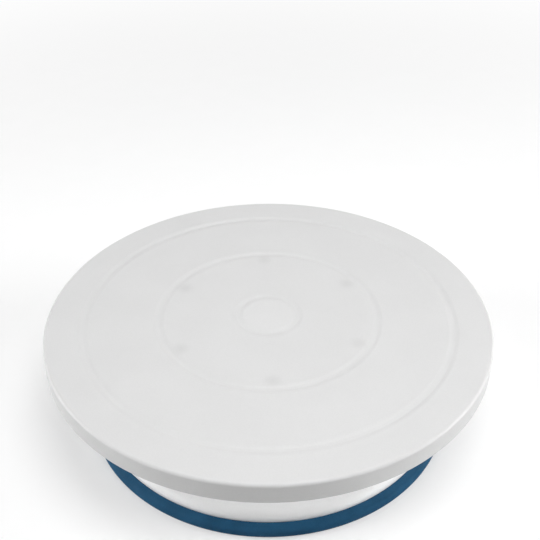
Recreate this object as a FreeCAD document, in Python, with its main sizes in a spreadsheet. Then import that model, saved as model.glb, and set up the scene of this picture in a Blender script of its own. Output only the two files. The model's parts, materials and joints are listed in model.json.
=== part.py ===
"""Cake decorating turntable: a ribbed plate that spins on a bell-shaped base.

Millimetres, +Z up, origin on the table under the middle of the base, +Z the axis of rotation.
The plate is screwed to a hub. The hub rides on a ring of steel balls and is centred by a
shoulder bolt in a small ball bearing, which sits in the base. A rubber ring grips the table.
"""
import FreeCAD, Part
import math
import operator
import os
from types import SimpleNamespace

import Sketcher

SIZES = {
    # Plate: its top is flat but for three shallow guide grooves.
    "overall_height": 70.0,
    "plate_radius": 140.0,
    "plate_skin": 3.0,
    "plate_rim_depth": 13.0,
    "plate_rim_wall": 2.6,
    "plate_edge_round": 1.8,
    "guide_inner_radius": 19.0,
    "guide_middle_radius": 69.0,
    "guide_outer_radius": 116.0,
    "guide_width": 6.4,
    "guide_floor_width": 1.8,
    "guide_depth": 0.55,
    "guide_round": 5.0,
    "plate_rib_width": 1.6,
    "plate_rib_depth": 3.0,
    "plate_rib_count": 12,
    "ring_rib_width": 2.0,
    "spigot_depth": 1.5,
    # Six screws join the plate to the hub.
    "boss_circle": 62.2,
    "boss_radius": 4.0,
    "boss_count": 6,
    "boss_angle": 32.0,
    "boss_hole_depth": 5.8,
    "hub_screw_radius": 1.6,
    "hub_screw_head_radius": 3.2,
    "hub_screw_head_height": 2.2,
    "hub_screw_reach": 5.0,
    "hole_play": 0.1,
    # Hub.
    "hub_flange": 3.0,
    "hub_radius": 67.4,
    "hub_boss_radius": 14.0,
    "hub_boss_depth": 5.5,
    "hub_skirt_inner": 56.2,
    "hub_skirt_wall": 2.0,
    "hub_skirt_depth": 10.5,
    "hub_seat_depth": 2.5,
    "hub_locator_width": 1.9,
    "hub_locator_depth": 1.8,
    "hub_rib_width": 2.0,
    "hex_pocket_depth": 4.0,
    # Thrust bearing: two steel races with a ring of balls between them.
    "race_inner": 44.0,
    "race_outer": 54.0,
    "race_thickness": 2.0,
    "race_gap": 4.0,
    "race_recess": 1.0,
    "race_play": 0.1,
    "thrust_ball_radius": 3.0,
    "thrust_pitch": 49.0,
    "thrust_ball_count": 18,
    "thrust_groove_radius": 3.15,
    "ball_play": 0.05,
    "thrust_cage_width": 8.8,
    "thrust_cage_height": 2.5,
    "thrust_pocket_play": 0.15,
    # Spindle: an M8 bolt, its spacer, washer and locking nut.
    "spindle_radius": 3.95,
    "spindle_play": 0.05,
    "spindle_tip": 29.0,
    "spindle_head_height": 5.3,
    "hex_across_flats": 13.0,
    "spacer_radius": 6.0,
    "washer_radius": 7.5,
    "washer_thickness": 1.6,
    "nut_height": 6.5,
    "nut_collar_radius": 6.0,
    "nut_collar_height": 1.7,
    "nut_lip": 0.4,
    "insert_radius": 5.25,
    # Centre bearing, 8 x 22 x 7 mm.
    "bearing_bottom": 40.0,
    "bearing_width": 7.0,
    "bearing_bore": 4.0,
    "bearing_radius": 11.0,
    "bearing_pitch": 7.5,
    "bearing_ball_radius": 1.9845,
    "bearing_ball_count": 7,
    "bearing_groove_radius": 2.06,
    "inner_ring_radius": 6.05,
    "outer_ring_bore": 8.95,
    "shield_seat_radius": 9.4,
    "shield_inset": 0.4,
    "shield_thickness": 0.3,
    "shield_bore": 6.35,
    "crown_inner": 6.5,
    "crown_outer": 8.5,
    # Base: a bell with a nearly flat skirt and an open, ribbed underside.
    "base_radius": 111.4,
    "base_foot": 2.0,
    "base_wall": 2.5,
    "skirt_height": 12.7,
    "skirt_slope": 0.1,
    "skirt_round": 5.0,
    "neck_radius": 55.6,
    "neck_round": 24.0,
    "deck_height": 50.0,
    "deck_thickness": 4.0,
    "deck_round": 0.8,
    "bearing_lip_bore": 9.5,
    "well_radius": 22.0,
    "well_wall": 3.0,
    "well_bottom": 20.0,
    "base_rib_count": 4,
    "base_rib_width": 2.0,
    "base_rib_angle": 0.0,
    "base_rib_low": 6.0,
    # Rubber grip ring, a channel pushed over the base's lower edge.
    "grip_radius": 117.0,
    "grip_inner": 106.0,
    "grip_top": 7.4,
    "grip_shoulder": 4.6,
    "grip_lip": 5.4,
    "grip_foot_round": 1.5,
    "grip_shoulder_round": 3.0,
    "grip_play": 0.1,
    # Plate that keeps the bearing in the base, with its three screws, and the cap below it.
    "retainer_bore": 9.6,
    "retainer_radius": 21.5,
    "retainer_thickness": 2.4,
    "retainer_circle": 16.5,
    "retainer_screw_count": 3,
    "retainer_screw_radius": 1.45,
    "retainer_head_radius": 2.8,
    "retainer_head_height": 2.0,
    "retainer_screw_reach": 5.0,
    "cap_radius": 25.0,
    "cap_thickness": 1.6,
    "cap_plug_height": 5.0,
    "cap_plug_wall": 1.9,
    "cap_play": 0.2,
    "cap_round": 1.0,
}

SHEET = "Sizes"
OPERATORS = {"+": operator.add, "-": operator.sub, "*": operator.mul, "/": operator.truediv}
CUTTING = ("Groove", "Pocket", "SubtractiveCylinder", "SubtractivePrism", "SubtractiveSphere")
EMBED = 1.0          # how far a rib or boss runs into the wall that carries it
OVERSHOOT = 1.0      # how far a cutting shape runs past the face it breaks through
TINY = 1e-6


class Size:
    """A number together with the sheet expression that yields it."""

    def __init__(self, value, formula):
        self.value = value
        self.formula = formula

    def __add__(self, other):
        return combined(self, "+", other)

    def __radd__(self, other):
        return combined(other, "+", self)

    def __sub__(self, other):
        return combined(self, "-", other)

    def __rsub__(self, other):
        return combined(other, "-", self)

    def __mul__(self, other):
        return combined(self, "*", other)

    def __truediv__(self, other):
        return combined(self, "/", other)


def as_size(amount):
    """Give a plain number the same form as a sheet size."""
    return amount if isinstance(amount, Size) else Size(float(amount), repr(float(amount)))


def combined(left, sign, right):
    """Work out a sum, difference, product or quotient in both forms."""
    left = as_size(left)
    right = as_size(right)
    value = OPERATORS[sign](left.value, right.value)
    return Size(value, f"({left.formula} {sign} {right.formula})")


document = FreeCAD.newDocument("cake_turntable")
sheet = document.addObject("Spreadsheet::Sheet", SHEET)
for row, (name, number) in enumerate(SIZES.items(), start=1):
    sheet.set(f"A{row}", name)
    sheet.set(f"B{row}", str(number))
    sheet.setAlias(f"B{row}", name)
document.recompute()
size = SimpleNamespace(**{name: Size(number, f"{SHEET}.{name}") for name, number in SIZES.items()})

# Levels above the table.
groove_floor = size.overall_height - size.guide_depth
plate_underside = size.overall_height - size.plate_skin
rim_bottom = size.overall_height - size.plate_rim_depth
race_floor = size.deck_height - size.race_recess
ball_level = race_floor + size.race_thickness + size.race_gap / 2
hub_underside = race_floor + size.race_thickness * 2 + size.race_gap
hub_top = hub_underside + size.hub_flange
hub_boss_bottom = hub_underside - size.hub_boss_depth
head_seat = hub_top - size.hex_pocket_depth
bearing_top = size.bearing_bottom + size.bearing_width
bearing_middle = size.bearing_bottom + size.bearing_width / 2
washer_bottom = size.bearing_bottom - size.washer_thickness
nut_bottom = washer_bottom - size.nut_height
retainer_bottom = size.bearing_bottom - size.retainer_thickness
deck_underside = size.deck_height - size.deck_thickness

# Radii that more than one part uses.
race_seat_outer = size.race_outer + size.race_play
race_seat_inner = size.race_inner - size.race_play
spindle_bore = size.spindle_radius + size.spindle_play

nodes = []


def bind(feature, path, amount):
    """Drive one property of a feature from the sheet."""
    feature.setExpression(path, as_size(amount).formula)


def new_body(name, angle=0):
    """Start a sub-part, turned about the axis by an angle."""
    body = document.addObject("PartDesign::Body", name)
    body.Label = name
    body.Placement.Rotation = FreeCAD.Rotation(FreeCAD.Vector(0, 0, 1), 0)
    document.recompute()
    bind(body, "Placement.Rotation.Angle", angle)
    return body


def origin_item(body, role):
    """Find an origin plane or axis of a body."""
    return next(item for item in body.Origin.OriginFeatures if item.Role == role)


def place_point(sketch, geometry, end, x, y):
    """Hold a point of a sketch at sizes from the sheet; a zero puts it on the axis."""
    for kind, axis, amount in (("DistanceX", -2, x), ("DistanceY", -1, y)):
        amount = as_size(amount)
        if abs(amount.value) < TINY:
            sketch.addConstraint(Sketcher.Constraint("PointOnObject", geometry, end, axis))
            continue
        held = Sketcher.Constraint(kind, -1, 1, geometry, end, amount.value)
        index = sketch.addConstraint(held)
        sketch.setExpression(f"Constraints[{index}]", amount.formula)


def fillet_arc(before, corner, after, radius):
    """Find where a rounded corner leaves its two sides, and its arc."""
    back = (before - corner).normalize()
    ahead = (after - corner).normalize()
    half_angle = back.getAngle(ahead) / 2
    reach = radius / math.tan(half_angle)
    centre = corner + (back + ahead).normalize() * (radius / math.sin(half_angle))
    start = corner + back * reach
    finish = corner + ahead * reach
    turns_left = (back.cross(ahead)).z < 0
    angles = [math.atan2(end.y - centre.y, end.x - centre.x) for end in (start, finish)]
    if not turns_left:
        angles.reverse()
    circle = Part.Circle(centre, FreeCAD.Vector(0, 0, 1), radius)
    return start, finish, Part.ArcOfCircle(circle, *angles), turns_left


def new_sketch(body, name, plane, shift=0):
    """Put an empty sketch on an origin plane, shifted along its own first axis."""
    sketch = body.newObject("Sketcher::SketchObject", name)
    sketch.AttachmentSupport = [(origin_item(body, plane), "")]
    sketch.MapMode = "FlatFace"
    bind(sketch, "AttachmentOffset.Base.x", shift)
    return sketch


def outline(body, name, corners, shift=0):
    """Draw a closed outline in the XZ plane; a corner is (x, z) or (x, z, rounding radius)."""
    sketch = new_sketch(body, name, "XZ_Plane", shift)
    sizes = [[as_size(amount) for amount in corner] for corner in corners]
    points = [FreeCAD.Vector(corner[0].value, corner[1].value, 0) for corner in sizes]
    count = len(points)
    arcs = {}
    for index, corner in enumerate(sizes):
        if len(corner) == 3:
            after = points[(index + 1) % count]
            arcs[index] = fillet_arc(points[index - 1], points[index], after, corner[2].value)
    for index in range(count):
        following = (index + 1) % count
        start = arcs[index][1] if index in arcs else points[index]
        finish = arcs[following][0] if following in arcs else points[following]
        sketch.addGeometry(Part.LineSegment(start, finish), False)
    for index, corner in enumerate(sizes):
        side_before = (index - 1) % count
        if index not in arcs:
            sketch.addConstraint(Sketcher.Constraint("Coincident", side_before, 2, index, 1))
            place_point(sketch, index, 1, corner[0], corner[1])
            continue
        arc = sketch.addGeometry(arcs[index][2], False)
        arc_start, arc_finish = (1, 2) if arcs[index][3] else (2, 1)
        sketch.addConstraint(Sketcher.Constraint("Tangent", side_before, 2, arc, arc_start))
        sketch.addConstraint(Sketcher.Constraint("Tangent", arc, arc_finish, index, 1))
        radius = sketch.addConstraint(Sketcher.Constraint("Radius", arc, corner[2].value))
        sketch.setExpression(f"Constraints[{radius}]", corner[2].formula)
        sharp = sketch.addGeometry(Part.Point(points[index]), True)
        sketch.addConstraint(Sketcher.Constraint("PointOnObject", sharp, 1, side_before))
        sketch.addConstraint(Sketcher.Constraint("PointOnObject", sharp, 1, index))
        place_point(sketch, sharp, 1, corner[0], corner[1])
    return sketch


def turn(body, name, corners, shift=0, kind="Revolution"):
    """Revolve an outline about the vertical axis of its sketch, to add or to cut."""
    sketch = outline(body, name + "_section", corners, shift)
    feature = body.newObject("PartDesign::" + kind, name)
    feature.Profile = sketch
    feature.ReferenceAxis = (sketch, ["V_Axis"])
    feature.Angle = 360
    return feature


def ring(body, name, inner, outer, bottom, top):
    """Revolve a plain rectangle."""
    return turn(body, name, [(inner, bottom), (outer, bottom), (outer, top), (inner, top)])


def ball_track(body, name, pitch, level, radius):
    """Cut a groove of round section for balls to run in."""
    sketch = new_sketch(body, name + "_section", "XZ_Plane")
    middle = FreeCAD.Vector(pitch.value, level.value, 0)
    circle = sketch.addGeometry(Part.Circle(middle, FreeCAD.Vector(0, 0, 1), radius.value), False)
    place_point(sketch, circle, 3, pitch, level)
    held = sketch.addConstraint(Sketcher.Constraint("Radius", circle, radius.value))
    sketch.setExpression(f"Constraints[{held}]", radius.formula)
    groove = body.newObject("PartDesign::Groove", name)
    groove.Profile = sketch
    groove.ReferenceAxis = (sketch, ["V_Axis"])
    groove.Angle = 360
    return groove


def primitive(body, kind, name, place, **sizes):
    """Add or cut a simple solid whose corner or centre stands at a place."""
    feature = body.newObject("PartDesign::" + kind, name)
    for axis, amount in zip("xyz", place):
        bind(feature, "Placement.Base." + axis, amount)
    for path, amount in sizes.items():
        bind(feature, path, amount)
    return feature


def repeat_around(body, features, count):
    """Repeat features evenly about the axis."""
    pattern = body.newObject("PartDesign::PolarPattern", features[0].Name + "_pattern")
    pattern.Originals = features
    pattern.Axis = (origin_item(body, "Z_Axis"), [""])
    pattern.Angle = 360
    bind(pattern, "Occurrences", count)
    body.Tip = pattern
    return pattern


def cross_bar(body, name, half_length, width, bottom, top, shift):
    """Cut one bar of a cross recess, centred on the shifted axis."""
    section = outline(body, name + "_section", [
        (half_length * -1, bottom),
        (half_length, bottom),
        (half_length, top),
        (half_length * -1, top),
    ], shift)
    pocket = body.newObject("PartDesign::Pocket", name)
    pocket.Profile = section
    pocket.Midplane = True
    bind(pocket, "Length", width)
    return pocket


def screws(name, circle, count, angle, shank, head, seat, head_height, reach):
    """Make a ring of cross-recessed screws that point up, their heads below the seat."""
    body = new_body(name, angle)
    head_bottom = seat - head_height
    screw = turn(body, name + "_shape", [
        (0, seat + reach),
        (shank, seat + reach),
        (shank, seat),
        (head, seat),
        (head, head_bottom, head_height * 0.6),
        (0, head_bottom),
    ], circle)
    document.recompute()
    half_length = head * 0.6
    half_width = head * 0.15
    recess = (head_bottom - OVERSHOOT, head_bottom + head_height * 0.5, circle)
    bars = [
        cross_bar(body, name + "_bar", half_length, half_width * 2, *recess),
        cross_bar(body, name + "_cross_bar", half_width, half_length * 2, *recess),
    ]
    repeat_around(body, [screw, *bars], count)
    nodes.append(body)


def make_top_plate():
    """Moulded plate: a skin with guide grooves, a rim, and ribs and bosses beneath."""
    body = new_body("top_plate", size.boss_angle)
    guides = []
    for radius in (size.guide_inner_radius, size.guide_middle_radius, size.guide_outer_radius):
        guides += [
            (radius - size.guide_width / 2, size.overall_height, size.guide_round),
            (radius - size.guide_floor_width / 2, groove_floor, size.guide_round),
            (radius + size.guide_floor_width / 2, groove_floor, size.guide_round),
            (radius + size.guide_width / 2, size.overall_height, size.guide_round),
        ]
    rim_inside = size.plate_radius - size.plate_rim_wall
    turn(body, "plate_skin", [
        (0, size.overall_height),
        *guides,
        (size.plate_radius, size.overall_height, size.plate_edge_round),
        (size.plate_radius, rim_bottom),
        (rim_inside, rim_bottom),
        (rim_inside, plate_underside),
        (0, plate_underside),
    ])
    half_ring = size.ring_rib_width / 2
    rib_bottom = plate_underside - size.plate_rib_depth
    for name, radius, bottom in (
        ("head_collar", size.guide_inner_radius, hub_top),
        ("hub_spigot", size.guide_middle_radius, hub_top - size.spigot_depth),
        ("outer_ring_rib", size.guide_outer_radius, rib_bottom),
    ):
        ring(body, name, radius - half_ring, radius + half_ring, bottom, plate_underside + EMBED)
    rib = primitive(
        body, "AdditiveBox", "plate_rib",
        (size.guide_inner_radius, size.plate_rib_width * -0.5, rib_bottom),
        Length=rim_inside + EMBED - size.guide_inner_radius,
        Width=size.plate_rib_width,
        Height=plate_underside + EMBED - rib_bottom,
    )
    repeat_around(body, [rib], size.plate_rib_count)
    boss = primitive(
        body, "AdditiveCylinder", "plate_boss", (size.boss_circle, 0, hub_top),
        Radius=size.boss_radius, Height=plate_underside + EMBED - hub_top,
    )
    pilot = primitive(
        body, "SubtractiveCylinder", "plate_boss_hole", (size.boss_circle, 0, hub_top - OVERSHOOT),
        Radius=size.hub_screw_radius + size.hole_play, Height=size.boss_hole_depth + OVERSHOOT,
    )
    repeat_around(body, [boss, pilot], size.boss_count)
    nodes.append(body)


def make_turntable_hub():
    """Moulded hub: a flange with a skirt over the bearing and a boss for the spindle."""
    body = new_body("turntable_hub", size.boss_angle)
    skirt_outer = size.hub_skirt_inner + size.hub_skirt_wall
    skirt_bottom = hub_underside - size.hub_skirt_depth
    seat_bottom = hub_underside - size.hub_seat_depth
    locator_inner = race_seat_inner - size.hub_locator_width
    locator_bottom = hub_underside - size.hub_locator_depth
    turn(body, "hub_section", [
        (spindle_bore, hub_boss_bottom),
        (size.hub_boss_radius, hub_boss_bottom),
        (size.hub_boss_radius, hub_underside),
        (locator_inner, hub_underside),
        (locator_inner, locator_bottom),
        (race_seat_inner, locator_bottom),
        (race_seat_inner, hub_underside),
        (race_seat_outer, hub_underside),
        (race_seat_outer, seat_bottom),
        (size.hub_skirt_inner, seat_bottom),
        (size.hub_skirt_inner, skirt_bottom),
        (skirt_outer, skirt_bottom),
        (skirt_outer, hub_underside),
        (size.hub_radius, hub_underside),
        (size.hub_radius, hub_top),
        (spindle_bore, hub_top),
    ])
    primitive(
        body, "SubtractivePrism", "head_pocket", (0, 0, head_seat),
        Circumradius=(size.hex_across_flats + size.hole_play * 2) / math.sqrt(3),
        Height=size.hex_pocket_depth + OVERSHOOT,
    )
    rib_start = size.hub_boss_radius - EMBED
    rib = primitive(
        body, "AdditiveBox", "hub_rib",
        (rib_start, size.hub_rib_width * -0.5, hub_boss_bottom + EMBED),
        Length=locator_inner + EMBED - rib_start,
        Width=size.hub_rib_width,
        Height=size.hub_boss_depth,
    )
    hole = primitive(
        body, "SubtractiveCylinder", "hub_screw_hole",
        (size.boss_circle, 0, hub_underside - OVERSHOOT),
        Radius=size.hub_screw_radius + size.hole_play, Height=size.hub_flange + OVERSHOOT * 2,
    )
    repeat_around(body, [rib, hole], size.boss_count)
    nodes.append(body)


def make_spindle():
    """Hexagon-head bolt that stands upside down in the hub, head uppermost."""
    body = new_body("spindle_bolt", size.boss_angle)
    primitive(
        body, "AdditivePrism", "bolt_head", (0, 0, head_seat),
        Circumradius=size.hex_across_flats / math.sqrt(3), Height=size.spindle_head_height,
    )
    turn(body, "bolt_shank", [
        (0, size.spindle_tip),
        (size.spindle_radius * 0.8, size.spindle_tip),
        (size.spindle_radius, size.spindle_tip + EMBED),
        (size.spindle_radius, head_seat + EMBED),
        (0, head_seat + EMBED),
    ])
    nodes.append(body)


def make_spindle_fittings():
    """Spacer, washer, locking nut and the nut's nylon insert."""
    spacer = new_body("spacer_sleeve")
    ring(spacer, "spacer_ring", spindle_bore, size.spacer_radius, bearing_top, hub_boss_bottom)
    washer = new_body("spindle_washer")
    ring(washer, "washer_ring", spindle_bore + size.hole_play, size.washer_radius,
         washer_bottom, size.bearing_bottom)
    nut = new_body("spindle_nut")
    primitive(
        nut, "AdditivePrism", "nut_hexagon", (0, 0, nut_bottom),
        Circumradius=size.hex_across_flats / math.sqrt(3), Height=size.nut_height,
    )
    collar_bottom = nut_bottom - size.nut_collar_height
    ring(nut, "nut_collar", spindle_bore, size.nut_collar_radius, collar_bottom, nut_bottom + EMBED)
    primitive(
        nut, "SubtractiveCylinder", "nut_thread_hole", (0, 0, collar_bottom - OVERSHOOT),
        Radius=spindle_bore, Height=size.nut_height + size.nut_collar_height + OVERSHOOT * 2,
    )
    insert_bottom = collar_bottom + size.nut_lip
    primitive(
        nut, "SubtractiveCylinder", "insert_seat", (0, 0, insert_bottom),
        Radius=size.insert_radius, Height=nut_bottom - insert_bottom,
    )
    insert = new_body("nut_insert")
    ring(insert, "insert_ring", spindle_bore, size.insert_radius, insert_bottom, nut_bottom)
    nodes.extend([spacer, washer, nut, insert])


def make_thrust_bearing():
    """Two grooved steel races, their balls, and the cage that spaces the balls."""
    track_offset = size.thrust_groove_radius - size.thrust_ball_radius - size.ball_play
    for name, bottom, track_level in (
        ("lower_race", race_floor, ball_level + track_offset),
        ("upper_race", hub_underside - size.race_thickness, ball_level - track_offset),
    ):
        body = new_body(name)
        ring(body, name + "_ring", size.race_inner, size.race_outer,
             bottom, bottom + size.race_thickness)
        ball_track(body, name + "_track", size.thrust_pitch, track_level,
                   size.thrust_groove_radius)
        nodes.append(body)
    balls = new_body("thrust_balls")
    ball = primitive(
        balls, "AdditiveSphere", "thrust_ball", (size.thrust_pitch, 0, ball_level),
        Radius=size.thrust_ball_radius,
    )
    repeat_around(balls, [ball], size.thrust_ball_count)
    cage = new_body("thrust_cage")
    cage_bottom = ball_level - size.thrust_cage_height / 2
    half_width = size.thrust_cage_width / 2
    ring(cage, "thrust_cage_ring", size.thrust_pitch - half_width, size.thrust_pitch + half_width,
         cage_bottom, cage_bottom + size.thrust_cage_height)
    pocket = primitive(
        cage, "SubtractiveCylinder", "thrust_pocket",
        (size.thrust_pitch, 0, cage_bottom - OVERSHOOT),
        Radius=size.thrust_ball_radius + size.thrust_pocket_play,
        Height=size.thrust_cage_height + OVERSHOOT * 2,
    )
    repeat_around(cage, [pocket], size.thrust_ball_count)
    nodes.extend([balls, cage])


def make_centre_bearing():
    """Deep-groove ball bearing: inner and outer ring, balls, crown cage and two shields."""
    inner = new_body("bearing_inner_ring")
    ring(inner, "inner_ring", size.bearing_bore, size.inner_ring_radius,
         size.bearing_bottom, bearing_top)
    ball_track(inner, "inner_track", size.bearing_pitch, bearing_middle, size.bearing_groove_radius)
    outer = new_body("bearing_outer_ring")
    step = size.shield_inset + size.shield_thickness
    turn(outer, "outer_ring", [
        (size.shield_seat_radius, size.bearing_bottom),
        (size.bearing_radius, size.bearing_bottom),
        (size.bearing_radius, bearing_top),
        (size.shield_seat_radius, bearing_top),
        (size.shield_seat_radius, bearing_top - step),
        (size.outer_ring_bore, bearing_top - step),
        (size.outer_ring_bore, size.bearing_bottom + step),
        (size.shield_seat_radius, size.bearing_bottom + step),
    ])
    ball_track(outer, "outer_track", size.bearing_pitch, bearing_middle, size.bearing_groove_radius)
    shields = new_body("bearing_shields")
    for name, bottom in (("lower_shield", size.bearing_bottom + size.shield_inset),
                         ("upper_shield", bearing_top - step)):
        ring(shields, name, size.shield_bore, size.shield_seat_radius - size.ball_play,
             bottom, bottom + size.shield_thickness)
    balls = new_body("bearing_balls")
    ball = primitive(
        balls, "AdditiveSphere", "bearing_ball", (size.bearing_pitch, 0, bearing_middle),
        Radius=size.bearing_ball_radius,
    )
    repeat_around(balls, [ball], size.bearing_ball_count)
    cage = new_body("bearing_cage")
    ring(cage, "crown_ring", size.crown_inner, size.crown_outer,
         size.bearing_bottom + step + size.hole_play * 2, bearing_middle + size.ball_play)
    pocket = primitive(
        cage, "SubtractiveSphere", "crown_pocket", (size.bearing_pitch, 0, bearing_middle),
        Radius=size.bearing_ball_radius + size.ball_play,
    )
    repeat_around(cage, [pocket], size.bearing_ball_count)
    nodes.extend([inner, outer, shields, balls, cage])


def make_base_shell():
    """Moulded bell with a bearing housing, hollow below but for its radial ribs."""
    bell = new_body("base_bell", size.base_rib_angle)
    skirt_rise = (size.base_radius - size.neck_radius) * size.skirt_slope
    turn(bell, "bell_section", [
        (size.base_radius, size.base_foot),
        (size.base_radius, size.skirt_height, size.skirt_round),
        (size.neck_radius, size.skirt_height + skirt_rise, size.neck_round),
        (size.neck_radius, size.deck_height, size.deck_round),
        (race_seat_outer, size.deck_height),
        (race_seat_outer, race_floor),
        (race_seat_inner, race_floor),
        (race_seat_inner, size.deck_height),
        (size.bearing_lip_bore, size.deck_height),
        (size.bearing_lip_bore, bearing_top),
        (size.bearing_radius, bearing_top),
        (size.bearing_radius, size.bearing_bottom),
        (size.well_radius, size.bearing_bottom),
        (size.well_radius, size.base_foot),
    ])
    pilot = primitive(
        bell, "SubtractiveCylinder", "retainer_screw_hole",
        (size.retainer_circle, 0, size.bearing_bottom - OVERSHOOT),
        Radius=size.retainer_screw_radius + size.ball_play,
        Height=size.retainer_screw_reach + OVERSHOOT * 1.5,
    )
    repeat_around(bell, [pilot], size.retainer_screw_count)
    core = new_body("base_core", size.base_rib_angle)
    wall = size.base_wall
    inside = size.base_radius - wall
    neck_inside = size.neck_radius - wall
    well_outside = size.well_radius + size.well_wall
    core_bottom = size.base_foot - OVERSHOOT
    inside_height = size.skirt_height - wall + wall * size.skirt_slope
    neck_height = size.skirt_height + skirt_rise - wall + wall * size.skirt_slope
    turn(core, "core_section", [
        (size.well_radius - OVERSHOOT, core_bottom),
        (inside, core_bottom),
        (inside, inside_height, size.skirt_round - wall),
        (neck_inside, neck_height, size.neck_round + wall),
        (neck_inside, deck_underside),
        (well_outside, deck_underside),
        (well_outside, size.well_bottom),
        (size.well_radius - OVERSHOOT, size.well_bottom),
    ])
    document.recompute()
    rib_section = outline(core, "rib_section", [
        (size.well_radius, size.well_bottom + OVERSHOOT),
        (size.base_radius, size.base_rib_low),
        (size.base_radius, size.deck_height),
        (size.well_radius, size.deck_height),
    ])
    rib = core.newObject("PartDesign::Pocket", "rib_slot")
    rib.Profile = rib_section
    rib.Midplane = True
    bind(rib, "Length", size.base_rib_width)
    repeat_around(core, [rib], size.base_rib_count)
    shell = document.addObject("Part::Cut", "base_shell")
    shell.Base = bell
    shell.Tool = core
    shell.Label = "base_shell"
    nodes.append(shell)


def make_base_fittings():
    """Rubber grip ring, bearing retainer and its screws, and the cap over the nut."""
    grip = new_body("grip_ring")
    outer_side = size.base_radius + size.grip_play
    inner_side = size.base_radius - size.base_wall - size.grip_play
    turn(grip, "grip_section", [
        (size.grip_inner, 0),
        (size.grip_radius, 0, size.grip_foot_round),
        (size.grip_radius, size.grip_shoulder, size.grip_shoulder_round),
        (outer_side, size.grip_top),
        (outer_side, size.base_foot),
        (inner_side, size.base_foot),
        (inner_side, size.grip_lip),
        (size.grip_inner, size.grip_lip),
    ])
    retainer = new_body("bearing_retainer", size.base_rib_angle)
    ring(retainer, "retainer_ring", size.retainer_bore, size.retainer_radius,
         retainer_bottom, size.bearing_bottom)
    hole = primitive(
        retainer, "SubtractiveCylinder", "retainer_hole",
        (size.retainer_circle, 0, retainer_bottom - OVERSHOOT),
        Radius=size.retainer_screw_radius + size.hole_play,
        Height=size.retainer_thickness + OVERSHOOT * 2,
    )
    repeat_around(retainer, [hole], size.retainer_screw_count)
    screws(
        "retainer_screws", size.retainer_circle, size.retainer_screw_count, size.base_rib_angle,
        size.retainer_screw_radius, size.retainer_head_radius, retainer_bottom,
        size.retainer_head_height, size.retainer_thickness + size.retainer_screw_reach,
    )
    cap = new_body("bottom_cap")
    plug_outer = size.well_radius - size.cap_play
    plug_inner = plug_outer - size.cap_plug_wall
    turn(cap, "cap_section", [
        (0, size.well_bottom),
        (0, size.well_bottom - size.cap_thickness),
        (size.cap_radius, size.well_bottom - size.cap_thickness, size.cap_round),
        (size.cap_radius, size.well_bottom),
        (plug_outer, size.well_bottom),
        (plug_outer, size.well_bottom + size.cap_plug_height),
        (plug_inner, size.well_bottom + size.cap_plug_height),
        (plug_inner, size.well_bottom),
    ])
    nodes.extend([grip, retainer, cap])


def check_model():
    """Stop before anything is written if a feature failed or a cut removed nothing."""
    document.recompute()
    for item in document.Objects:
        if {"Invalid", "Error"} & set(item.State):
            raise RuntimeError(f"{item.Name} failed: {item.State}")
        kind = item.TypeId.replace("PartDesign::", "")
        if kind in CUTTING and item.Shape.Volume > item.BaseFeature.Shape.Volume - TINY:
            raise RuntimeError(f"{item.Name} cuts nothing")
    for node in nodes:
        if node.Shape.isNull() or not node.Shape.isValid():
            raise RuntimeError(f"{node.Label} has no valid shape")


make_top_plate()
make_turntable_hub()
screws(
    "hub_screws", size.boss_circle, size.boss_count, size.boss_angle, size.hub_screw_radius,
    size.hub_screw_head_radius, hub_underside, size.hub_screw_head_height,
    size.hub_flange + size.hub_screw_reach,
)
make_spindle()
make_spindle_fittings()
make_thrust_bearing()
make_centre_bearing()
make_base_shell()
make_base_fittings()
check_model()

os.makedirs("parts", exist_ok=True)
for node in nodes:
    node.Shape.exportStep(f"parts/{node.Label}.step")
    box = node.Shape.optimalBoundingBox()
    print(f"{node.Label:20s} {len(node.Shape.Solids):3d} solids  {node.Shape.Volume:10.1f} mm3"
          f"  radius {box.XMax:6.1f}  z {box.ZMin:5.1f} to {box.ZMax:5.1f}")
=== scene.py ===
"""Looks of the cake turntable: moulded shells, rubber ring, materials, studio and camera.

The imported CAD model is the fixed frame. The visible mouldings are rebuilt here as dense, closed
meshes with draft and rounded corners; the bearing, the spindle and the screws stay as CAD made
them and get materials. Pieces are measured in millimetres, the studio and camera in metres.
"""

import json
import math

import bpy
from mathutils import Matrix, Quaternion, Vector


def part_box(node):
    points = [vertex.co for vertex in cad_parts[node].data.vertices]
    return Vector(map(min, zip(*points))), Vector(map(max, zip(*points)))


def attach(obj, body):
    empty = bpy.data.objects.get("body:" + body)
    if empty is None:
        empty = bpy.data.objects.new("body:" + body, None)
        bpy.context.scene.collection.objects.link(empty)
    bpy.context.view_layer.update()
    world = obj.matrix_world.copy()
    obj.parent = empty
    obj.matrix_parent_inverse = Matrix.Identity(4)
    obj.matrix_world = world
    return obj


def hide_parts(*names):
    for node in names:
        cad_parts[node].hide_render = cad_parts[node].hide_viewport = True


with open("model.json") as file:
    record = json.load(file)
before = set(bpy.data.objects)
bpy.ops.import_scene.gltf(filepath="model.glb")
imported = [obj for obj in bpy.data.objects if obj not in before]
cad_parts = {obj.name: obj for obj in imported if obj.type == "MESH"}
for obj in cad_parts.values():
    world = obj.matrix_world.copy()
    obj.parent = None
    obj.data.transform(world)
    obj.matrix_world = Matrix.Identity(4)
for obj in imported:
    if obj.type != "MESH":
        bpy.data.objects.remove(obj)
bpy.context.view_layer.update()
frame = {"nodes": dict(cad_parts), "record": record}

MM = 0.001
SEGMENTS = 360          # steps round a revolved piece
SMALL_SEGMENTS = 40     # steps round a bore or boss
ARC_STEPS = 6           # steps along a rounded corner of an outline
HOLD = 0.25             # flat strip kept beside each rounded corner, so shading stays true
EMBED = 0.6             # how far a rib runs into the wall that carries it
OVERSHOOT = 1.0         # how far a cutting tool runs past the surface it cuts
SHARP_ANGLE = math.radians(32)


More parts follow.
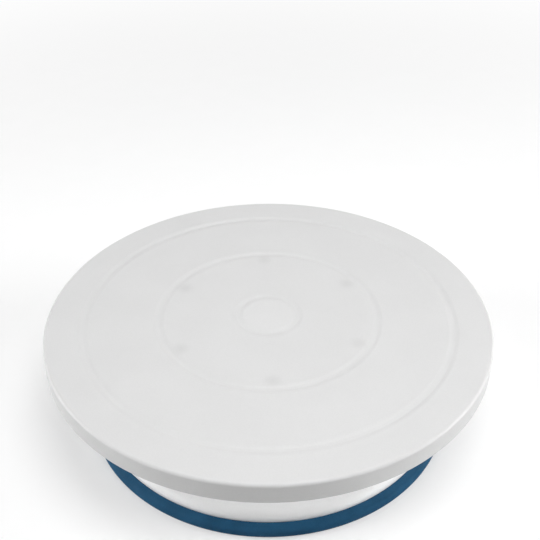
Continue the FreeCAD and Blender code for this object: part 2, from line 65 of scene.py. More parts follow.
def extent(node):
    """Radius, lowest and highest level of a round CAD node, in millimetres."""
    low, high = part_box(node)
    return high.x / MM, low.z / MM, high.z / MM


PLATE_RADIUS, RIM_BOTTOM, PLATE_TOP = extent("top_plate")
HUB_RADIUS, HUB_SKIRT_BOTTOM, HUB_TOP = extent("turntable_hub")
BASE_RADIUS, BASE_FOOT, DECK_TOP = extent("base_shell")
GRIP_RADIUS, GRIP_BOTTOM, GRIP_TOP = extent("grip_ring")
CAP_RADIUS, CAP_BOTTOM, CAP_TOP = extent("bottom_cap")
CAP_THICKNESS = 1.6
RACE_OUTER, RACE_FLOOR, _ = extent("lower_race")
_, _, HUB_UNDERSIDE = extent("upper_race")
BEARING_OUTER, BEARING_BOTTOM, BEARING_TOP = extent("bearing_outer_ring")

# Plate
GUIDES = (19.0, 69.0, 116.0)     # radii of the three guide grooves
GUIDE_WIDTH = 6.4
GUIDE_FLOOR_WIDTH = 1.8
GUIDE_DEPTH = 0.55
GUIDE_ROUND = 5.0
EDGE_ROUND = 1.8
RIM_WALL = 2.6
RIM_DRAFT = 0.3
PLATE_SKIN = 3.0
PLATE_UNDERSIDE = PLATE_TOP - PLATE_SKIN
PLATE_RIBS = 12
RIB_DEPTH = 3.0
RIB_WIDTH = 1.6
RIB_DRAFT = 0.1                  # how much narrower a rib's tip is, on each side
RIB_TIP_ROUND = 0.3
RING_RIB_WIDTH = 2.0
SPIGOT_DEPTH = 1.5
BOSS_CIRCLE = 62.2
BOSS_RADIUS = 4.0
BOSS_BORE = 1.7
BOSS_BORE_DEPTH = 5.8
BOSS_ANGLE = 32.0
BOSSES = 6

# Hub
HUB_BORE = 4.0
HUB_BOSS_RADIUS = 14.0
HUB_BOSS_BOTTOM = HUB_UNDERSIDE - 5.5
HUB_RIB_BOTTOM = HUB_BOSS_BOTTOM + 1
HUB_SKIRT_INNER = 56.2
HUB_SKIRT_WALL = 2.0
SEAT_INNER = 43.9
SEAT_OUTER = RACE_OUTER + 0.1
SEAT_BOTTOM = HUB_UNDERSIDE - 2.5
LOCATOR_INNER = 42.0
LOCATOR_BOTTOM = HUB_UNDERSIDE - 1.8
HEX_RADIUS = 13.2 / math.sqrt(3)
HEX_SEAT = HUB_TOP - 4.0

# Base
BASE_WALL = 2.5
SKIRT_HEIGHT = 12.7
SKIRT_SLOPE = 0.1
SKIRT_ROUND = 5.0
NECK_RADIUS = 55.6
NECK_ROUND = 24.0
DECK_THICKNESS = 4.0
LIP_BORE = 9.5
WELL_RADIUS = 22.0
WELL_WALL = 3.0
BASE_RIBS = 4
BASE_RIB_WIDTH = 2.0
BASE_RIB_LOW = 6.0      # lowest level of a rib, at the skirt
BASE_RIB_RISE = 1.0     # how far it stays above the well's foot
BASE_RIB_ROUND = 0.35
BASE_SCREWS = 3
BASE_SCREW_CIRCLE = 16.5
BASE_SCREW_BORE = 1.5
BASE_SCREW_DEPTH = 5.5

# Grip ring
GRIP_INNER = 106.0
GRIP_LIP = 5.4
GRIP_SHOULDER = 4.6
CHANNEL_OUTER = BASE_RADIUS + 0.1
CHANNEL_INNER = BASE_RADIUS - BASE_WALL - 0.1
TREAD_RADII = (107.6, 110.1, 112.6)     # fine anti-slip grooves in the lower face
TREAD_WIDTH = 0.9
TREAD_DEPTH = 0.5

# Cap
CAP_WALL = 1.9
CAP_PLUG_OUTER = WELL_RADIUS - 0.2
CAP_RECESS_DEPTH = 0.4
CAP_RECESS = CAP_RADIUS * 0.62
CAP_RECESS_RIM = CAP_RADIUS * 0.64


# ---------------------------------------------------------------- outlines and meshes

def rounded(points):
    """Turn corners (r, z) or (r, z, radius) of an outline into a polyline with arcs."""
    corners = [Vector(point[:2]) for point in points]
    path = []
    for index, point in enumerate(points):
        here = corners[index]
        before = corners[index - 1]
        after = corners[(index + 1) % len(points)]
        radius = point[2] if len(point) > 2 else 0
        if not radius:
            path.append(here)
            continue
        back = (before - here).normalized()
        ahead = (after - here).normalized()
        half = back.angle(ahead) / 2
        reach = radius / math.tan(half)
        centre = here + (back + ahead).normalized() * (radius / math.sin(half))
        if (before - here).length > reach + HOLD * 2:
            path.append(here + back * (reach + HOLD))
        start = here + back * reach - centre
        sweep = start.angle_signed(here + ahead * reach - centre)
        for step in range(ARC_STEPS + 1):
            turn = -sweep * step / ARC_STEPS
            cosine, sine = math.cos(turn), math.sin(turn)
            path.append(centre + Vector((
                start.x * cosine - start.y * sine, start.x * sine + start.y * cosine)))
        if (after - here).length > reach + HOLD * 2:
            path.append(here + ahead * (reach + HOLD))
    return path


def new_piece(name, vertices, faces):
    """Make an object from faces and from vertices in millimetres."""
    mesh = bpy.data.meshes.new(name)
    mesh.from_pydata([tuple(c * MM for c in v) for v in vertices], [], faces)
    mesh.validate()
    piece = bpy.data.objects.new(name, mesh)
    bpy.context.scene.collection.objects.link(piece)
    return piece


def revolve(name, outline, segments=SEGMENTS):
    """Turn a closed outline, given anticlockwise in (r, z), about the Z axis into a closed mesh."""
    path = rounded(outline)
    vertices = []
    rows = []
    for point in path:
        if point.x < 1e-6:
            rows.append([len(vertices)] * segments)
            vertices.append((0, 0, point.y))
            continue
        rows.append(list(range(len(vertices), len(vertices) + segments)))
        for step in range(segments):
            angle = math.tau * step / segments
            vertices.append((point.x * math.cos(angle), point.x * math.sin(angle), point.y))
    faces = []
    for row, following in zip(rows, rows[1:] + rows[:1]):
        for step in range(segments):
            nearby = (step + 1) % segments
            corners = [row[step], row[nearby], following[nearby], following[step]]
            face = list(dict.fromkeys(corners))
            if len(face) > 2:
                faces.append(face)
    return new_piece(name, vertices, faces)


def extrude(name, section, start, end, along_y=False):
    """Run a closed section in (y, z) along X, or one in (x, z) along Y, from start to end."""
    path = rounded(section)
    count = len(path)
    vertices = [(place, p.x, p.y) for place in (start, end) for p in path]
    if along_y:
        vertices = [(y, -x, z) for x, y, z in vertices]
    faces = [list(range(count))[::-1], list(range(count, 2 * count))]
    for index in range(count):
        nearby = (index + 1) % count
        faces.append([index, nearby, count + nearby, count + index])
    return new_piece(name, vertices, faces)


def disc(name, radius, low, high, segments=SMALL_SEGMENTS):
    """Plain round bar on the Z axis, a tool for cutting bores."""
    return revolve(name, [(0, low), (radius, low), (radius, high), (0, high)], segments)


def discard(piece):
    """Delete a helper object and its mesh."""
    mesh = piece.data
    bpy.data.objects.remove(piece)
    bpy.data.meshes.remove(mesh)


def combine(piece, others, operation="UNION"):
    """Add or cut other closed meshes, and delete them."""
    for other in others:
        modifier = piece.modifiers.new("combine", "BOOLEAN")
        modifier.operation = operation
        modifier.solver = "MANIFOLD"
        modifier.object = other
    settle(piece)
    for other in others:
        discard(other)
    return piece


def around(piece, count, angle=0.0, radius=0.0):
    """Repeat a helper piece evenly about the Z axis, at a radius, and delete the first one."""
    copies = []
    for step in range(count):
        copy = bpy.data.objects.new(piece.name, piece.data.copy())
        turn = Matrix.Rotation(math.radians(angle + 360 * step / count), 4, "Z")
        copy.data.transform(turn @ Matrix.Translation((radius * MM, 0, 0)))
        bpy.context.scene.collection.objects.link(copy)
        copies.append(copy)
    discard(piece)
    return copies


def soften(piece, width):
    """Round the edges of a helper piece."""
    modifier = piece.modifiers.new("soften", "BEVEL")
    modifier.width = width * MM
    modifier.segments = 2
    settle(piece)


def settle(piece):
    """Replace a piece's mesh with the result of its modifiers."""
    graph = bpy.context.evaluated_depsgraph_get()
    mesh = bpy.data.meshes.new_from_object(piece.evaluated_get(graph))
    piece.modifiers.clear()
    piece.data = mesh


def polish(piece):
    """Smooth shading, with edges sharper than SHARP_ANGLE kept crisp."""
    piece.data.shade_smooth()
    piece.data.set_sharp_from_angle(angle=SHARP_ANGLE)
    return piece


def rib_section(low, root, width, fillet):
    """Section of a rib that hangs from a wall at root down to low and flares into the wall."""
    tip = width / 2 - RIB_DRAFT
    foot = width / 2
    edge = foot + fillet + 0.1
    top = root + EMBED
    return [
        (-tip, low, RIB_TIP_ROUND), (tip, low, RIB_TIP_ROUND),
        (foot, root, fillet), (edge, root), (edge, top),
        (-edge, top), (-edge, root), (-foot, root, fillet),
    ]


# ---------------------------------------------------------------- pieces

def make_plate():
    """White moulded plate: guide grooves on top, a rim, and ribs and bosses beneath."""
    floor = PLATE_TOP - GUIDE_DEPTH
    grooves = []
    for radius in reversed(GUIDES):
        grooves += [
            (radius + GUIDE_WIDTH / 2, PLATE_TOP, GUIDE_ROUND),
            (radius + GUIDE_FLOOR_WIDTH / 2, floor, GUIDE_ROUND),
            (radius - GUIDE_FLOOR_WIDTH / 2, floor, GUIDE_ROUND),
            (radius - GUIDE_WIDTH / 2, PLATE_TOP, GUIDE_ROUND),
        ]
    inside = PLATE_RADIUS - RIM_WALL
    plate = revolve("plate", [
        (0, PLATE_UNDERSIDE),
        (inside - RIM_DRAFT, PLATE_UNDERSIDE, 1.0),
        (inside, RIM_BOTTOM, 0.5),
        (PLATE_RADIUS, RIM_BOTTOM, 0.6),
        (PLATE_RADIUS, PLATE_TOP, EDGE_ROUND),
        *grooves,
        (0, PLATE_TOP),
    ])
    rib_low = PLATE_UNDERSIDE - RIB_DEPTH
    added = []
    for radius, low in (
        (GUIDES[0], HUB_TOP), (GUIDES[1], HUB_TOP - SPIGOT_DEPTH), (GUIDES[2], rib_low),
    ):
        added.append(revolve("ring_rib", [
            (radius + y, z, *corner)
            for y, z, *corner in rib_section(low, PLATE_UNDERSIDE, RING_RIB_WIDTH, 0.6)
        ]))
    rib = extrude(
        "rib", rib_section(rib_low, PLATE_UNDERSIDE, RIB_WIDTH, 0.6), GUIDES[0], inside + EMBED)
    added += around(rib, PLATE_RIBS, BOSS_ANGLE)
    boss = revolve("boss", [
        (0, PLATE_UNDERSIDE + EMBED),
        (0, HUB_TOP + BOSS_BORE_DEPTH),
        (BOSS_BORE, HUB_TOP + BOSS_BORE_DEPTH),
        (BOSS_BORE, HUB_TOP, 0.3),
        (BOSS_RADIUS, HUB_TOP, 0.3),
        (BOSS_RADIUS, PLATE_UNDERSIDE + EMBED),
    ], SMALL_SEGMENTS)
    added += around(boss, BOSSES, BOSS_ANGLE, BOSS_CIRCLE)
    return combine(plate, added)


def make_hub():
    """Grey moulded hub: a flange with a skirt over the bearing, a boss and ribs."""
    skirt_outer = HUB_SKIRT_INNER + HUB_SKIRT_WALL
    hub = revolve("hub", [
        (HUB_BORE, HUB_BOSS_BOTTOM, 0.4),
        (HUB_BOSS_RADIUS, HUB_BOSS_BOTTOM, 0.6),
        (HUB_BOSS_RADIUS, HUB_UNDERSIDE, 0.8),
        (LOCATOR_INNER, HUB_UNDERSIDE, 0.5),
        (LOCATOR_INNER, LOCATOR_BOTTOM, 0.3),
        (SEAT_INNER, LOCATOR_BOTTOM, 0.3),
        (SEAT_INNER, HUB_UNDERSIDE),
        (SEAT_OUTER, HUB_UNDERSIDE),
        (SEAT_OUTER, SEAT_BOTTOM),
        (HUB_SKIRT_INNER, SEAT_BOTTOM, 0.5),
        (HUB_SKIRT_INNER, HUB_SKIRT_BOTTOM, 0.5),
        (skirt_outer, HUB_SKIRT_BOTTOM, 0.6),
        (skirt_outer, HUB_UNDERSIDE, 1.2),
        (HUB_RADIUS, HUB_UNDERSIDE, 0.5),
        (HUB_RADIUS, HUB_TOP, 0.5),
        (HUB_BORE, HUB_TOP),
    ])
    rib = extrude(
        "hub_rib", rib_section(HUB_RIB_BOTTOM, HUB_UNDERSIDE, RING_RIB_WIDTH, 0.5),
        HUB_BOSS_RADIUS - EMBED, LOCATOR_INNER + EMBED)
    combine(hub, around(rib, BOSSES, BOSS_ANGLE))
    bore = disc("hub_bore", BOSS_BORE, HUB_UNDERSIDE - OVERSHOOT, HUB_TOP + OVERSHOOT)
    pocket = disc("hex_pocket", HEX_RADIUS, HEX_SEAT, HUB_TOP + OVERSHOOT, segments=6)
    cuts = around(bore, BOSSES, BOSS_ANGLE, BOSS_CIRCLE) + around(pocket, 1, BOSS_ANGLE)
    return combine(hub, cuts, "DIFFERENCE")


def make_base():
    """White bell: a nearly flat skirt, a neck, and a deck with the two bearing seats."""
    rise = (BASE_RADIUS - NECK_RADIUS) * SKIRT_SLOPE
    deck_underside = DECK_TOP - DECK_THICKNESS
    well_bottom = CAP_BOTTOM + CAP_THICKNESS
    drop = BASE_WALL * (1 - SKIRT_SLOPE)
    base = revolve("base", [
        (WELL_RADIUS, well_bottom),
        (WELL_RADIUS + WELL_WALL, well_bottom, 0.4),
        (WELL_RADIUS + WELL_WALL, deck_underside, 1.0),
        (NECK_RADIUS - BASE_WALL, deck_underside, 1.0),
        (NECK_RADIUS - BASE_WALL, SKIRT_HEIGHT + rise - drop, NECK_ROUND + BASE_WALL),
        (BASE_RADIUS - BASE_WALL, SKIRT_HEIGHT - drop, SKIRT_ROUND - BASE_WALL),
        (BASE_RADIUS - BASE_WALL, BASE_FOOT, 0.3),
        (BASE_RADIUS, BASE_FOOT, 0.3),
        (BASE_RADIUS, SKIRT_HEIGHT, SKIRT_ROUND),
        (NECK_RADIUS, SKIRT_HEIGHT + rise, NECK_ROUND),
        (NECK_RADIUS, DECK_TOP, 0.8),
        (SEAT_OUTER, DECK_TOP),
        (SEAT_OUTER, RACE_FLOOR),
        (SEAT_INNER, RACE_FLOOR),
        (SEAT_INNER, DECK_TOP, 0.3),
        (LIP_BORE, DECK_TOP, 0.4),
        (LIP_BORE, BEARING_TOP),
        (BEARING_OUTER, BEARING_TOP),
        (BEARING_OUTER, BEARING_BOTTOM, 0.3),
        (WELL_RADIUS, BEARING_BOTTOM, 0.5),
    ])
    middle = BASE_WALL / 2
    rib = extrude("base_rib", [
        (WELL_RADIUS + middle, well_bottom + BASE_RIB_RISE, 0),
        (BASE_RADIUS - middle, BASE_RIB_LOW, 0),
        (BASE_RADIUS - middle, SKIRT_HEIGHT - middle, SKIRT_ROUND - middle),
        (NECK_RADIUS - middle, SKIRT_HEIGHT + rise - middle, NECK_ROUND + middle),
        (NECK_RADIUS - middle, DECK_TOP - middle, 0),
        (WELL_RADIUS + middle, DECK_TOP - middle, 0),
    ], -BASE_RIB_WIDTH / 2, BASE_RIB_WIDTH / 2, along_y=True)
    soften(rib, BASE_RIB_ROUND)
    combine(base, around(rib, BASE_RIBS))
    bore = disc(
        "base_bore", BASE_SCREW_BORE, BEARING_BOTTOM - OVERSHOOT, BEARING_BOTTOM + BASE_SCREW_DEPTH)
    return combine(base, around(bore, BASE_SCREWS, 0, BASE_SCREW_CIRCLE), "DIFFERENCE")


def make_grip_ring():
    """Blue rubber channel pushed over the base's lower edge, with fine grooves in its foot."""
    tread = []
    for radius in TREAD_RADII:
        half = TREAD_WIDTH / 2
        tread += [
            (radius - half, GRIP_BOTTOM, 0.15), (radius - half / 2, GRIP_BOTTOM + TREAD_DEPTH, 0.15),
            (radius + half / 2, GRIP_BOTTOM + TREAD_DEPTH, 0.15), (radius + half, GRIP_BOTTOM, 0.15),
        ]
    return revolve("grip", [
        (GRIP_INNER, GRIP_BOTTOM, 0.8),
        *tread,
        (GRIP_RADIUS, GRIP_BOTTOM, 1.5),
        (GRIP_RADIUS, GRIP_SHOULDER, 3.0),
        (CHANNEL_OUTER + 0.4, GRIP_TOP - 0.1, 0.5),
        (CHANNEL_OUTER, GRIP_TOP - 0.5),
        (CHANNEL_OUTER, BASE_FOOT),
        (CHANNEL_INNER, BASE_FOOT),
        (CHANNEL_INNER, GRIP_LIP, 0.6),
        (GRIP_INNER, GRIP_LIP, 0.8),
    ])


def make_cap():
    """Grey cap with a hollow plug that closes the nut's well from below."""
    disc_top = CAP_BOTTOM + CAP_THICKNESS
    return revolve("cap", [
        (0, CAP_BOTTOM + CAP_RECESS_DEPTH),
        (CAP_RECESS, CAP_BOTTOM + CAP_RECESS_DEPTH, 0.4),
        (CAP_RECESS_RIM, CAP_BOTTOM, 0.4),
        (CAP_RADIUS, CAP_BOTTOM, 0.9),
        (CAP_RADIUS, disc_top, 0.3),
        (CAP_PLUG_OUTER, disc_top),
        (CAP_PLUG_OUTER, CAP_TOP, 0.6),
        (CAP_PLUG_OUTER - CAP_WALL, CAP_TOP, 0.3),
        (CAP_PLUG_OUTER - CAP_WALL, disc_top, 0.8),
        (0, disc_top),
    ])


# ---------------------------------------------------------------- materials

PLATE_WHITE = 0.61
# partly painted light: the base is whiter than the plate partly as its own plastic and partly to
# stand in for light that reaches its flange under the plate
BASE_WHITE = 0.955
HUB_GREY = 0.86
BOSS_PAINTED_SHADE = 0.925      # painted shade: brightness at the middle of the dark spot over each boss
BOSS_SHADE_RADIUS = 7.5       # where the painted shade over a boss fades out
BOSS_SHADE_FULL = 0.5         # the painted shade over a boss is whole down to this depth below the top
BOSS_SHADE_END = 1.0          # and gone at this one
GATE_SHADE = 1.025      # brightness of the disc inside the inner groove
GATE_FULL = 15.0        # radius up to which the disc is whole
GATE_END = 18.0         # and at which it has faded out
INSIDE_PAINTED_LIGHT = 1.42     # painted light: how much brighter the plate's inside is than its top, so that it throws more light onto the base
INSIDE_START = 1.4      # depth below the top at which the inside begins
INSIDE_FULL = 2.4       # and at which it is whole
RUBBER_DARK = (0.013, 0.077, 0.158, 1)
RUBBER_LIGHT = (0.017, 0.094, 0.190, 1)


class Recipe:
    """A material in the making: a Principled shader and short calls that add nodes to it."""

    def __init__(self, name, **values):
        self.material = bpy.data.materials.new(name)
        self.material.use_nodes = True
        self.tree = self.material.node_tree
        self.shader = self.tree.nodes["Principled BSDF"]
        for socket, value in values.items():
            self.shader.inputs[socket.replace("_", " ")].default_value = value
        self.place = self.node("ShaderNodeTexCoord").outputs["Object"]

    def node(self, kind, inputs=None, **settings):
        """Add a node, set its properties, and give its inputs values or links."""
        made = self.tree.nodes.new(kind)
        for key, value in settings.items():
            setattr(made, key, value)
        for key, value in (inputs or {}).items():
            if isinstance(value, bpy.types.NodeSocket):
                self.tree.links.new(value, made.inputs[key])
            else:
                made.inputs[key].default_value = value
        return made

    def number(self, operation, *values):
        """Arithmetic on one to three numbers."""
        return self.node(
            "ShaderNodeMath", dict(enumerate(values)), operation=operation).outputs[0]

    def noise(self, grain, place=None, detail=3.0, roughness=0.5):
        """Noise whose features are about grain millimetres across."""
        return self.node("ShaderNodeTexNoise", {
            "Vector": place or self.place, "Scale": 1 / (grain * MM), "Detail": detail,
            "Roughness": roughness}).outputs["Fac"]

    def between(self, factor, low, high, start=0.3, end=0.7):
        """Map a factor from start..end to low..high, smoothly and clamped."""
        return self.node("ShaderNodeMapRange", {
            "Value": factor, "From Min": start, "From Max": end, "To Min": low, "To Max": high,
        }, interpolation_type="SMOOTHSTEP").outputs["Result"]

    def mixed(self, factor, first, second):
        """Mix two colours."""
        made = self.node("ShaderNodeMix", data_type="RGBA")
        for key, value in (("Factor_Float", factor), ("A_Color", first), ("B_Color", second)):
            socket = next(item for item in made.inputs if item.identifier == key)
            if isinstance(value, bpy.types.NodeSocket):
                self.tree.links.new(value, socket)
            else:
                socket.default_value = value
        return next(item for item in made.outputs if item.identifier == "Result_Color")

    def shaded(self, colour, factor):
        """Multiply a colour by a number."""
        return self.node(
            "ShaderNodeVectorMath", {0: colour, "Scale": factor}, operation="SCALE").outputs[0]

    def bump(self, height, depth, strength=1.0):
        """Raise the surface by a height map whose full range is depth millimetres."""
        made = self.node("ShaderNodeBump", {
            "Height": height, "Distance": depth * MM, "Strength": strength})
        self.feed("Normal", made.outputs["Normal"])

    def feed(self, socket, value):
        """Link a value to an input of the shader."""
        self.tree.links.new(value, self.shader.inputs[socket])

    def polar(self):
        """Distance from the Z axis and angle about it, in metres and radians, and the level."""
        axes = self.node("ShaderNodeSeparateXYZ", {0: self.place}).outputs
        squares = [self.number("MULTIPLY", axis, axis) for axis in (axes["X"], axes["Y"])]
        radius = self.number("SQRT", self.number("ADD", *squares))
        angle = self.number("ARCTAN2", axes["Y"], axes["X"])
        return radius, angle, axes["Z"]


def grey(level, warmth=0.0):
    """A near-white colour."""
    return (level * (1 + warmth), level, level * (1 - warmth), 1.0)


def moulded_plastic(name, level, grain_depth, warmth=0.0):
    """White or grey polypropylene: satin, with a fine spark-eroded grain and faint clouding."""
    recipe = Recipe(
        name, IOR=1.49, Specular_IOR_Level=0.35, Subsurface_Weight=0.12, Subsurface_Scale=2 * MM)
    recipe.shader.inputs["Subsurface Radius"].default_value = (1.0, 1.0, 1.0)
    clouds = recipe.noise(38, detail=4.0)
    specks = recipe.noise(0.9, detail=2.0)
    colour = recipe.mixed(
        recipe.between(clouds, 0, 1), grey(level * 0.988, warmth), grey(level * 1.008, warmth))
    colour = recipe.shaded(colour, recipe.between(specks, 0.988, 1.01))
    recipe.feed("Roughness", recipe.between(recipe.noise(5), 0.44, 0.54))
    recipe.bump(recipe.noise(0.55, detail=2.0), grain_depth)
    recipe.feed("Base Color", colour)
    return recipe, colour


def plate_plastic():
    """The plate's plastic: painted shade over the six bosses, a paler disc at the gate, and a
    painted brighter inside.
    """
    recipe, colour = moulded_plastic("plate_plastic", PLATE_WHITE, 0.012)
    radius, angle, level = recipe.polar()
    sector = math.tau / BOSSES
    local = recipe.number(
        "WRAP", recipe.number("SUBTRACT", angle, math.radians(BOSS_ANGLE)), sector / 2, -sector / 2)
    along = recipe.number("SUBTRACT", recipe.number(
        "MULTIPLY", radius, recipe.number("COSINE", local)), BOSS_CIRCLE * MM)
    across = recipe.number("MULTIPLY", radius, recipe.number("SINE", local))
    distance = recipe.number("SQRT", recipe.number(
        "ADD", recipe.number("MULTIPLY", along, along), recipe.number("MULTIPLY", across, across)))
    # painted shade: a dark spot on the top face over each of the six bosses
    boss_shade = recipe.between(distance, BOSS_PAINTED_SHADE, 1.0, 0.0, BOSS_SHADE_RADIUS * MM)
    on_top = recipe.between(
        level, 0.0, 1.0, (PLATE_TOP - BOSS_SHADE_END) * MM, (PLATE_TOP - BOSS_SHADE_FULL) * MM)
    boss_shade = recipe.number("ADD", recipe.number(
        "MULTIPLY", recipe.number("SUBTRACT", boss_shade, 1.0), on_top), 1.0)
    gate = recipe.between(radius, GATE_SHADE, 1.0, GATE_FULL * MM, GATE_END * MM)
    # painted light: the plate's inside, within the rim and below the top skin, is brightened to
    # throw more light onto the base below
    within = recipe.between(
        radius, 1.0, 0.0, (PLATE_RADIUS - RIM_WALL) * MM, (PLATE_RADIUS - RIM_WALL / 2) * MM)
    below = recipe.between(
        level, 1.0, 0.0, (PLATE_TOP - INSIDE_FULL) * MM, (PLATE_TOP - INSIDE_START) * MM)
    inside = recipe.number("MULTIPLY_ADD", recipe.number(
        "MULTIPLY", within, below), INSIDE_PAINTED_LIGHT - 1, 1.0)
    shade = recipe.number("MULTIPLY", recipe.number("MULTIPLY", boss_shade, gate), inside)
    recipe.feed("Base Color", recipe.shaded(colour, shade))
    return recipe.material


def rubber():
    """Dark blue soft rubber, matt and slightly clouded."""
    recipe = Recipe("grip_rubber", IOR=1.5, Specular_IOR_Level=0.12)
    cloudy = recipe.mixed(recipe.between(recipe.noise(14), 0, 1), RUBBER_DARK, RUBBER_LIGHT)
    recipe.feed("Base Color", recipe.shaded(cloudy, recipe.between(recipe.noise(0.6), 0.93, 1.06)))
    recipe.feed("Roughness", recipe.between(recipe.noise(3), 0.62, 0.76))
    recipe.bump(recipe.noise(0.35, detail=2.0), 0.02)
    return recipe.material


def ground_steel():
    """Bearing steel with fine grinding lines that run round the axis."""
    recipe = Recipe("bearing_steel", Metallic=1.0)
    radius, _, level = recipe.polar()
    rings = recipe.node("ShaderNodeCombineXYZ", {"X": radius, "Z": level}).outputs[0]
    lines = recipe.noise(0.12, rings, detail=2.0)
    recipe.feed("Base Color", recipe.mixed(
        recipe.between(lines, 0, 1), (0.56, 0.56, 0.57, 1), (0.68, 0.68, 0.69, 1)))
    recipe.feed("Roughness", recipe.between(recipe.noise(6), 0.2, 0.32))
    recipe.bump(lines, 0.003)
    return recipe.material


def zinc():
    """Bright zinc plate with a faint bluish and yellowish bloom."""
    recipe = Recipe("zinc_steel", Metallic=1.0)
    recipe.feed("Base Color", recipe.mixed(
        recipe.between(recipe.noise(3.5), 0, 1), (0.62, 0.65, 0.69, 1), (0.70, 0.69, 0.62, 1)))
    recipe.feed("Roughness", recipe.between(recipe.noise(1.2), 0.28, 0.42))
    recipe.bump(recipe.noise(0.3), 0.006)
    return recipe.material


def nylon(name, dark, light):
    """Slightly translucent nylon, with clouded colour."""
    recipe = Recipe(name, IOR=1.53, Subsurface_Weight=0.15, Subsurface_Scale=1.5 * MM)
    recipe.feed("Base Color", recipe.mixed(recipe.between(recipe.noise(2.5), 0, 1), dark, light))
    recipe.feed("Roughness", recipe.between(recipe.noise(0.8), 0.34, 0.46))
    recipe.bump(recipe.noise(0.25), 0.006)
    return recipe.material


def matt_paper(name, level):
    """Matt studio paper, faintly clouded."""
    recipe = Recipe(name, Specular_IOR_Level=0.0, Roughness=0.95)
    colour = recipe.mixed(recipe.between(recipe.noise(30), 0, 1), grey(level * 0.99), grey(level))
    recipe.feed("Base Color", colour)
    return recipe, colour


def glowing_paper(name, level):
    """Paper that is lit from behind as well, and has only that light far from the turntable."""
    recipe, colour = matt_paper(name, level)
    radius, _, _ = recipe.polar()
    recipe.shader.inputs["Emission Color"].default_value = grey(1.0)
    recipe.feed("Emission Strength", recipe.between(radius, GLOW, FAR_GLOW, GLOW_START, GLOW_FULL))
    recipe.feed("Base Color", recipe.shaded(
        colour, recipe.between(radius, 1.0, 0.0, GLOW_START, GLOW_FULL)))
    return recipe


# ---------------------------------------------------------------- the object

base_plastic = moulded_plastic("base_plastic", BASE_WHITE, 0.012)[0].material
hub_plastic = moulded_plastic("hub_plastic", HUB_GREY, 0.018)[0].material
grip_rubber = rubber()
for piece, body, node, slot, material in (
    (make_plate(), "turntable", "top_plate", "white_plastic", plate_plastic()),
    (make_hub(), "turntable", "turntable_hub", "hub_plastic", hub_plastic),
    (make_base(), "base", "base_shell", "white_plastic", base_plastic),
    (make_grip_ring(), "base", "grip_ring", "grip_rubber", grip_rubber),
    (make_cap(), "base", "bottom_cap", "hub_plastic", hub_plastic),
):
    polish(piece)
    piece.data.materials.clear()
    piece.data.materials.append(material)
    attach(piece, body)
    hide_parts(node)

finishes = {
    "white_plastic": base_plastic,
    "hub_plastic": hub_plastic,
    "grip_rubber": grip_rubber,
    "bearing_steel": ground_steel(),
    "zinc_steel": zinc(),
    "cage_nylon": nylon("cage_nylon", (0.70, 0.66, 0.54, 1), (0.79, 0.75, 0.64, 1)),
    "insert_nylon": nylon("insert_nylon", (0.03, 0.09, 0.33, 1), (0.05, 0.13, 0.42, 1)),
}
for part in frame["record"]["subparts"]:
    frame["nodes"][part["node"]].material_slots[0].material = finishes[part["material_slot"]]

# ---------------------------------------------------------------- studio and camera

FLOOR_SIZE = 14.0
FLOOR_WHITE = 0.58      # reflectance of the floor that is seen
CARD_GREY = 0.7         # reflectance of the sheet whose light reaches the object
CARD_DROP = 0.2 * MM    # how far that sheet lies below the floor
GLOW = 0.4              # the floor's own light near the turntable
FAR_GLOW = 1.0          # and from GLOW_FULL outwards
GLOW_START = 0.35
GLOW_FULL = 1.1
HORIZON_LEVEL = 1.0     # brightness of the backdrop at the horizon
SKY_LEVEL = 0.55        # and high up
FADE_START = 0.02       # sines of the two heights between which it fades
FADE_END = 0.5

MIDDLE = (0, 0, 0.05)
SOFTBOXES = (           # name, place, width, height, watts
    ("top", (0.1, 0.2, 1.6), 1.0, 1.0, 4.8),
    ("key", (0.15, -0.26, 0.95), 0.5, 0.5, 4.6),
    ("front", (0.3, -1.11, 1.01), 0.9, 0.9, 2.0),
    ("right", (2.25, 0, 0.87), 1.4, 0.85, 49.0),
    ("left", (-2.25, 0, 0.87), 1.4, 0.85, 46.0),
)

LENS = 57.2
CAMERA_SHIFT = 0.0044
CAMERA_DISTANCE = 0.4309
CAMERA_RISE = 0.3328
CAMERA_PITCH = 34.71
CAMERA_ROLL = -0.46


def make_floor(name, material, level, hidden_from):
    """A wide sheet under the turntable, which some kinds of ray pass through."""
    half = FLOOR_SIZE / 2
    mesh = bpy.data.meshes.new(name)
    mesh.from_pydata(
        [(x, y, level) for x, y in ((-half, -half), (half, -half), (half, half), (-half, half))],
        [], [(0, 1, 2, 3)])
    mesh.materials.append(material)
    floor = bpy.data.objects.new(name, mesh)
    for kind in hidden_from:
        setattr(floor, f"visible_{kind}", False)
    bpy.context.scene.collection.objects.link(floor)


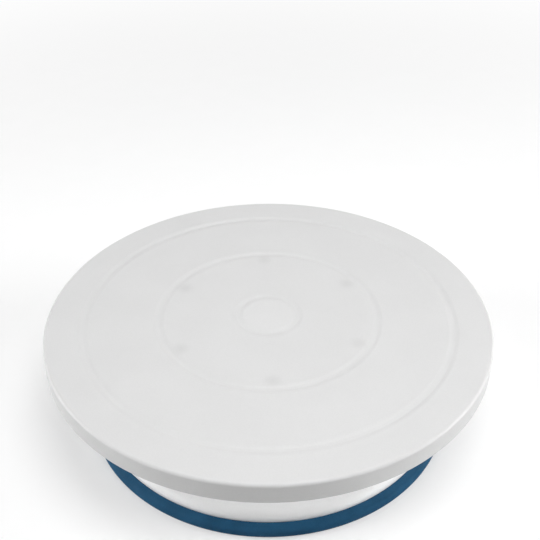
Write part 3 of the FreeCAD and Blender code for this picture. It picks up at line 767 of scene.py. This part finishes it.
def make_world():
    """A pale backdrop, greyer higher up, that is seen and mirrored but lights nothing matt."""
    world = bpy.data.worlds.new("studio")
    world.use_nodes = True
    bpy.context.scene.world = world
    world.cycles_visibility.diffuse = False
    nodes, links = world.node_tree.nodes, world.node_tree.links
    place = nodes.new("ShaderNodeTexCoord")
    axes = nodes.new("ShaderNodeSeparateXYZ")
    fade = nodes.new("ShaderNodeMapRange")
    fade.interpolation_type = "SMOOTHSTEP"
    fade.inputs["From Min"].default_value = FADE_START
    fade.inputs["From Max"].default_value = FADE_END
    fade.inputs["To Min"].default_value = HORIZON_LEVEL
    fade.inputs["To Max"].default_value = SKY_LEVEL
    links.new(place.outputs["Generated"], axes.inputs[0])
    links.new(axes.outputs["Z"], fade.inputs["Value"])
    links.new(fade.outputs["Result"], nodes["Background"].inputs["Strength"])
    nodes["Background"].inputs["Color"].default_value = (1, 1, 1, 1)


def aim(item, place, target, roll=0.0):
    """Put a light or camera at a place and point it at a target, both in metres."""
    view = Vector(target) - Vector(place)
    item.location = place
    item.rotation_euler = (
        view.to_track_quat("-Z", "Y") @ Quaternion((0, 0, 1), math.radians(roll))).to_euler()


def make_softbox(name, place, width, height, power):
    """A rectangular area light that points at the object and isn't itself seen."""
    light = bpy.data.lights.new(name, "AREA")
    light.shape = "RECTANGLE"
    light.size = width
    light.size_y = height
    light.energy = power
    item = bpy.data.objects.new(name, light)
    item.visible_camera = False
    bpy.context.scene.collection.objects.link(item)
    aim(item, place, MIDDLE)


def make_camera():
    """Camera at the height, distance, pitch and slight roll that the real view has."""
    camera = bpy.data.cameras.new("camera")
    camera.sensor_width = 36
    camera.lens = LENS
    camera.shift_x = CAMERA_SHIFT
    item = bpy.data.objects.new("camera", camera)
    bpy.context.scene.collection.objects.link(item)
    pitch = math.radians(CAMERA_PITCH)
    top = PLATE_TOP * MM
    place = Vector((0, -CAMERA_DISTANCE, top + CAMERA_RISE))
    aim(item, place, place + Vector((0, math.cos(pitch), -math.sin(pitch))), CAMERA_ROLL)
    bpy.context.scene.camera = item


floor_paper = glowing_paper("floor_paper", FLOOR_WHITE)
card_paper, _ = matt_paper("card_paper", CARD_GREY)
make_floor("floor", floor_paper.material, 0, ("diffuse", "shadow"))
make_floor("card", card_paper.material, -CARD_DROP, ("camera", "glossy"))
make_world()
for softbox in SOFTBOXES:
    make_softbox(*softbox)
make_camera()
bpy.context.scene.view_settings.view_transform = "Standard"
